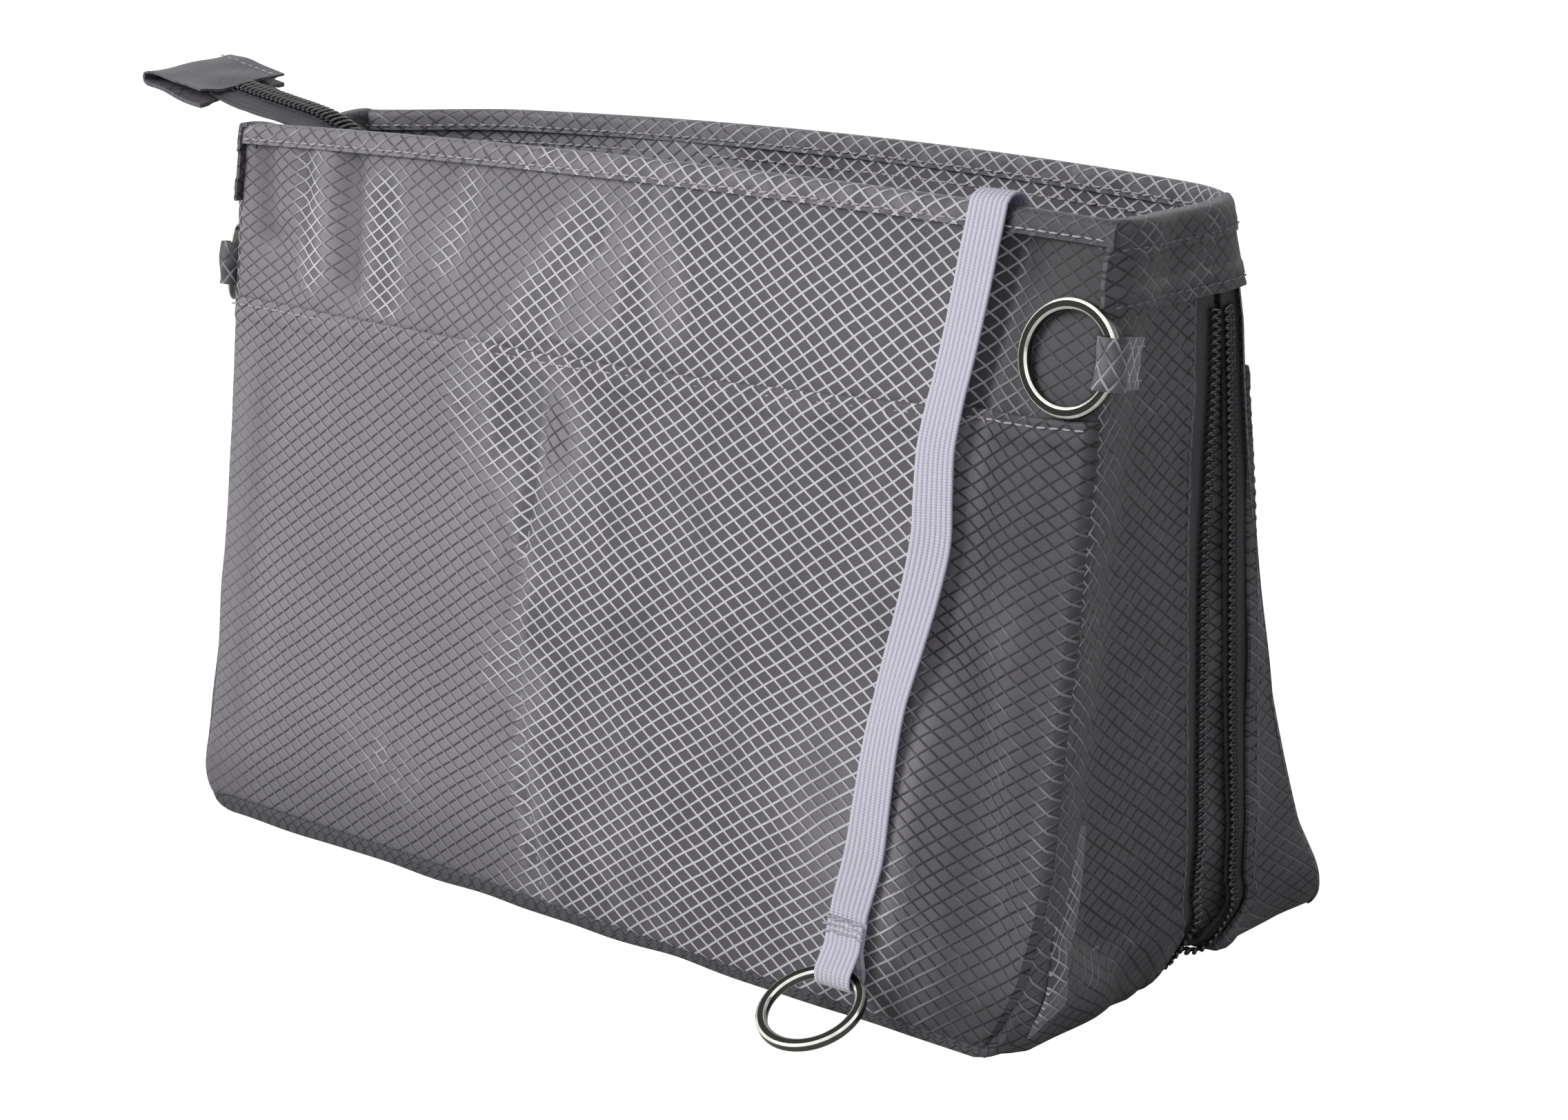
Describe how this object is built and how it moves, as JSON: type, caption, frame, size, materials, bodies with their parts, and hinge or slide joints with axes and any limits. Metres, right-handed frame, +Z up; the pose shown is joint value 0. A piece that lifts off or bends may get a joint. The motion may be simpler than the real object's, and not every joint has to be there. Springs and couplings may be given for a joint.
{
  "type": "purse organizer insert",
  "caption": "Soft bag insert, wider at the base, with a front pocket, a zip round its ends and base, a recessed top zip with a tail, ring tabs and a key strap.",
  "frame": {"origin": "on the underside of the base, midway along the bag and under its middle from front to back", "axes": "+X along the bag away from the top zip's tail, -Y out of the pocket side, +Z up"},
  "size_m": [0.3288, 0.149, 0.1901],
  "materials": {
    "ripstop_cloth": "grey diamond-grid ripstop",
    "lining_cloth": "plain woven lining",
    "foam": "soft foam sheet between cloth and lining",
    "zip_tape": "charcoal woven tape",
    "zip_coil": "dark nylon coil",
    "elastic": "ribbed pale lilac elastic",
    "nickel_wire": "bright nickel",
    "slider_metal": "gunmetal grey"
  },
  "bodies": {
    "front_half": {"front_panel": "ripstop_cloth", "front_foam": "foam", "front_lining": "lining_cloth", "front_rim_hem": "ripstop_cloth", "front_pocket": "ripstop_cloth", "front_gusset": "ripstop_cloth", "front_gusset_lining": "lining_cloth", "front_zip_tape": "zip_tape", "front_zip_coil": "zip_coil", "expansion_gusset": "ripstop_cloth", "right_end_band": "ripstop_cloth", "left_end_band": "ripstop_cloth", "right_ring_tab": "ripstop_cloth", "left_ring_tab": "ripstop_cloth", "key_strap_anchor": "ripstop_cloth", "key_strap": "elastic", "key_strap_fold": "elastic", "top_zip_front_lead": "zip_tape", "top_zip_back_lead": "zip_tape", "top_zip_front_flap": "ripstop_cloth", "top_zip_back_flap": "ripstop_cloth", "top_zip_tail_tape": "zip_tape", "top_zip_tail_chain": "zip_coil", "top_zip_tail_tab": "ripstop_cloth"},
    "back_half": {"back_panel": "ripstop_cloth", "back_foam": "foam", "back_lining": "lining_cloth", "back_rim_hem": "ripstop_cloth", "back_gusset": "ripstop_cloth", "back_gusset_lining": "lining_cloth", "back_zip_tape": "zip_tape", "back_zip_coil": "zip_coil"},
    "right_ring": {"right_ring": "nickel_wire"},
    "left_ring": {"left_ring": "nickel_wire"},
    "key_ring": {"key_ring": "nickel_wire"},
    "top_zip_slider": {"top_zip_slider": "slider_metal"},
    "top_zip_pull": {"top_zip_pull": "slider_metal"},
    "front_zip_row": {"top_zip_front_tape": "zip_tape", "top_zip_front_coil": "zip_coil"},
    "back_zip_row": {"top_zip_back_tape": "zip_tape", "top_zip_back_coil": "zip_coil"},
    "expansion_slider": {"expansion_slider": "slider_metal"},
    "expansion_pull": {"expansion_pull": "slider_metal"}
  },
  "joints": [
    {"name": "back_half_close", "type": "hinge", "parent": "front_half", "child": "back_half", "pos_m": [0, 0.062, 0.155], "axis": [-1, 0, 0], "range_deg": [0, 4.7], "deforming": ["expansion_gusset"]},
    {"name": "expansion_slider_travel", "type": "slide", "parent": "front_half", "child": "expansion_slider", "axis": [-0.0009, 0.0325, -0.9995], "range_m": [0, 0.116]},
    {"name": "expansion_pull_swing", "type": "hinge", "parent": "expansion_slider", "child": "expansion_pull", "pos_m": [-0.13948, 0.00904, 0.146], "axis": [0, 0.9995, 0.0325], "range_deg": [0, 120]},
    {"name": "top_zip_slider_travel", "type": "slide", "parent": "front_half", "child": "top_zip_slider", "axis": [1, 0, 0], "range_m": [0, 0.188]},
    {"name": "top_zip_pull_swing", "type": "hinge", "parent": "top_zip_slider", "child": "top_zip_pull", "pos_m": [-0.09, -0.011, 0.15875], "axis": [0, -1, 0], "range_deg": [0, 120]},
    {"name": "front_zip_row_close", "type": "slide", "parent": "front_half", "child": "front_zip_row", "axis": [0, 1, 0], "range_m": [0, 0.0115], "deforming": ["top_zip_front_lead", "top_zip_front_flap"]},
    {"name": "back_zip_row_close", "type": "slide", "parent": "front_half", "child": "back_zip_row", "axis": [0, -1, 0], "range_m": [0, 0.0115], "deforming": ["top_zip_back_lead", "top_zip_back_flap"]},
    {"name": "right_ring_swing", "type": "hinge", "parent": "front_half", "child": "right_ring", "pos_m": [0.13945, -0.04288, 0.1495], "axis": [0, 0.1457, 0.9893], "range_deg": [0, 180]},
    {"name": "left_ring_swing", "type": "hinge", "parent": "front_half", "child": "left_ring", "pos_m": [-0.14056, -0.03843, 0.141], "axis": [0, 0.1457, 0.9893], "range_deg": [-25, 150]},
    {"name": "key_ring_swing", "type": "hinge", "parent": "front_half", "child": "key_ring", "pos_m": [0.088, -0.0662, 0.01096], "axis": [-1, 0, 0], "range_deg": [0, 100]}
  ],
  "couplings": [
    {"joint": "expansion_slider_travel", "follows": "back_half_close", "m_per_rad": 1.414},
    {"joint": "front_zip_row_close", "follows": "top_zip_slider_travel", "ratio": 0.061},
    {"joint": "back_zip_row_close", "follows": "top_zip_slider_travel", "ratio": 0.061}
  ]
}
